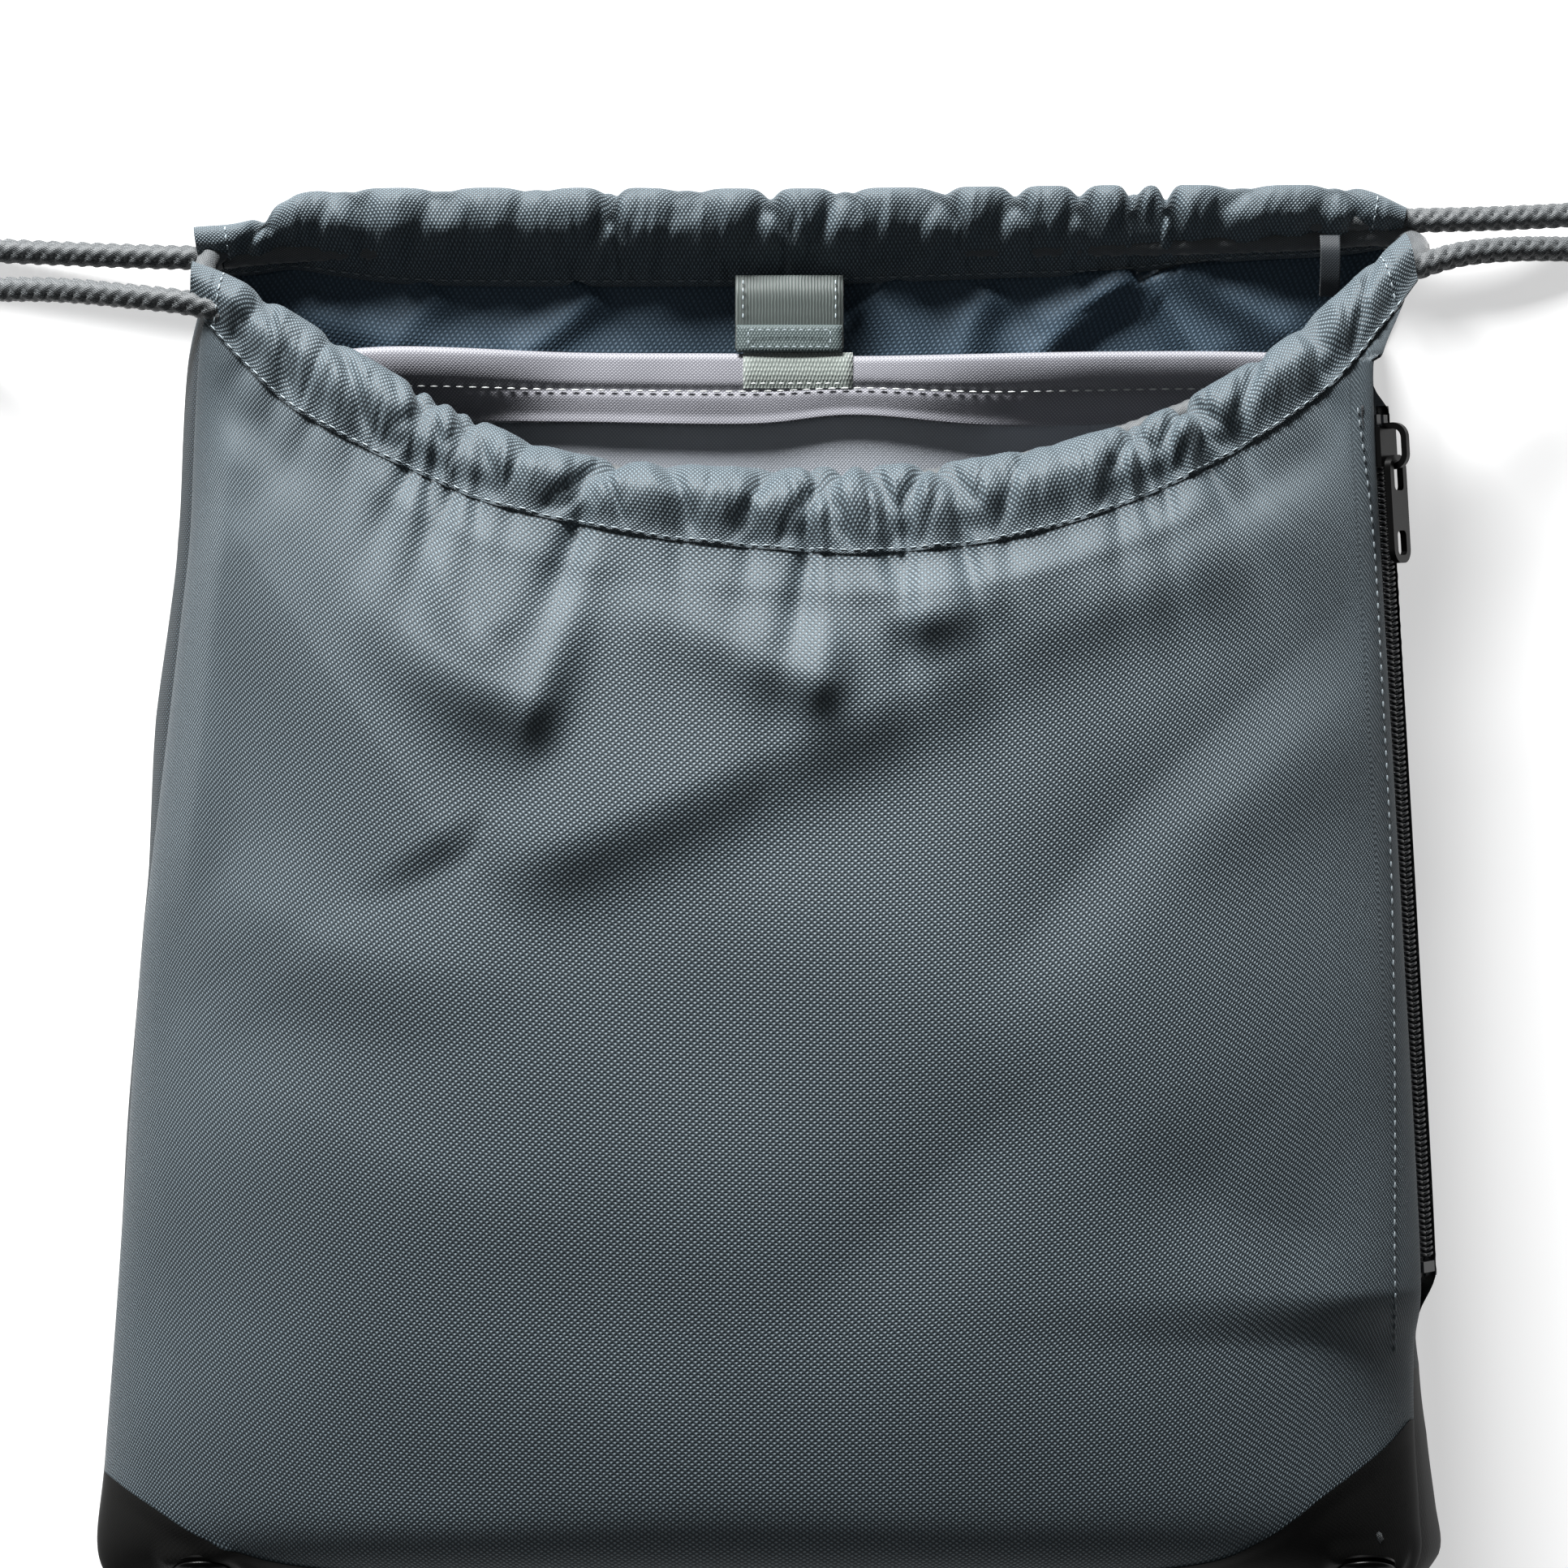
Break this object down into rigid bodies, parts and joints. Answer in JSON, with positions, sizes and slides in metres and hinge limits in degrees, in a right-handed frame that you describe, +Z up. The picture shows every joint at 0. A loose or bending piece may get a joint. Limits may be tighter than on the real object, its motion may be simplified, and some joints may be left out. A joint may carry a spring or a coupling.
{
  "type": "drawstring shoe bag",
  "caption": "Drawstring shoe bag of woven polyester with a coated base, side zip pocket, inner divider with closure tab and two cord loops that serve as straps.",
  "frame": {"origin": "under the middle of the bag, on the surface it lies on, with the free cords left out", "axes": "+X to the zipper side, +Y to the mouth, +Z up through the front panel"},
  "size_m": [0.6684, 0.4673, 0.074],
  "materials": {
    "shell_cloth": "matte",
    "base_cloth": "satin",
    "lining_cloth": "satin",
    "braided_cord": "satin",
    "eyelet_metal": "gloss",
    "zipper_tape": "matte",
    "zipper_coil": "satin",
    "slider_enamel": "gloss",
    "webbing": "satin",
    "hook_and_loop": "matte"
  },
  "bodies": {
    "root": {"back_panel": "shell_cloth", "back_tunnel": "shell_cloth", "base_back": "base_cloth", "base_front": "base_cloth", "base_left_side": "base_cloth", "base_right_side": "base_cloth", "care_label": "webbing", "front_panel": "shell_cloth", "front_tunnel": "shell_cloth", "left_back_strand": "braided_cord", "left_cord_in_tunnels": "braided_cord", "left_eyelet": "eyelet_metal", "left_eyelet_washer": "eyelet_metal", "left_front_strand": "braided_cord", "left_knot": "braided_cord", "left_side_panel": "shell_cloth", "loop_tape": "hook_and_loop", "pocket_divider": "lining_cloth", "right_back_strand": "braided_cord", "right_cord_in_tunnels": "braided_cord", "right_eyelet": "eyelet_metal", "right_eyelet_washer": "eyelet_metal", "right_front_strand": "braided_cord", "right_knot": "braided_cord", "right_side_panel": "shell_cloth", "zip_pocket_bag": "lining_cloth", "zipper_bottom_stop": "slider_enamel", "zipper_coil_front": "zipper_coil", "zipper_coil_rear": "zipper_coil", "zipper_tape_front": "zipper_tape", "zipper_tape_rear": "zipper_tape", "zipper_top_stops": "slider_enamel"},
    "slider": {"zipper_slider": "slider_enamel"},
    "puller": {"zipper_puller": "slider_enamel"},
    "tab": {"closure_tab": "webbing", "hook_tape": "hook_and_loop"}
  },
  "joints": [
    {"name": "zipper_slide", "type": "slide", "parent": "root", "child": "slider", "axis": [0.0555, -0.9985, 0], "range_m": [0, 0.215]},
    {"name": "puller_hinge", "type": "hinge", "parent": "slider", "child": "puller", "pos_m": [0.16914, 0.1215, 0.04221], "axis": [-0.5441, -0.0302, 0.8384], "range_deg": [0, 120]},
    {"name": "tab_hinge", "type": "hinge", "parent": "root", "child": "tab", "pos_m": [0.0017, 0.1722, 0.0092], "axis": [-1, 0, 0], "range_deg": [0, 110]}
  ]
}
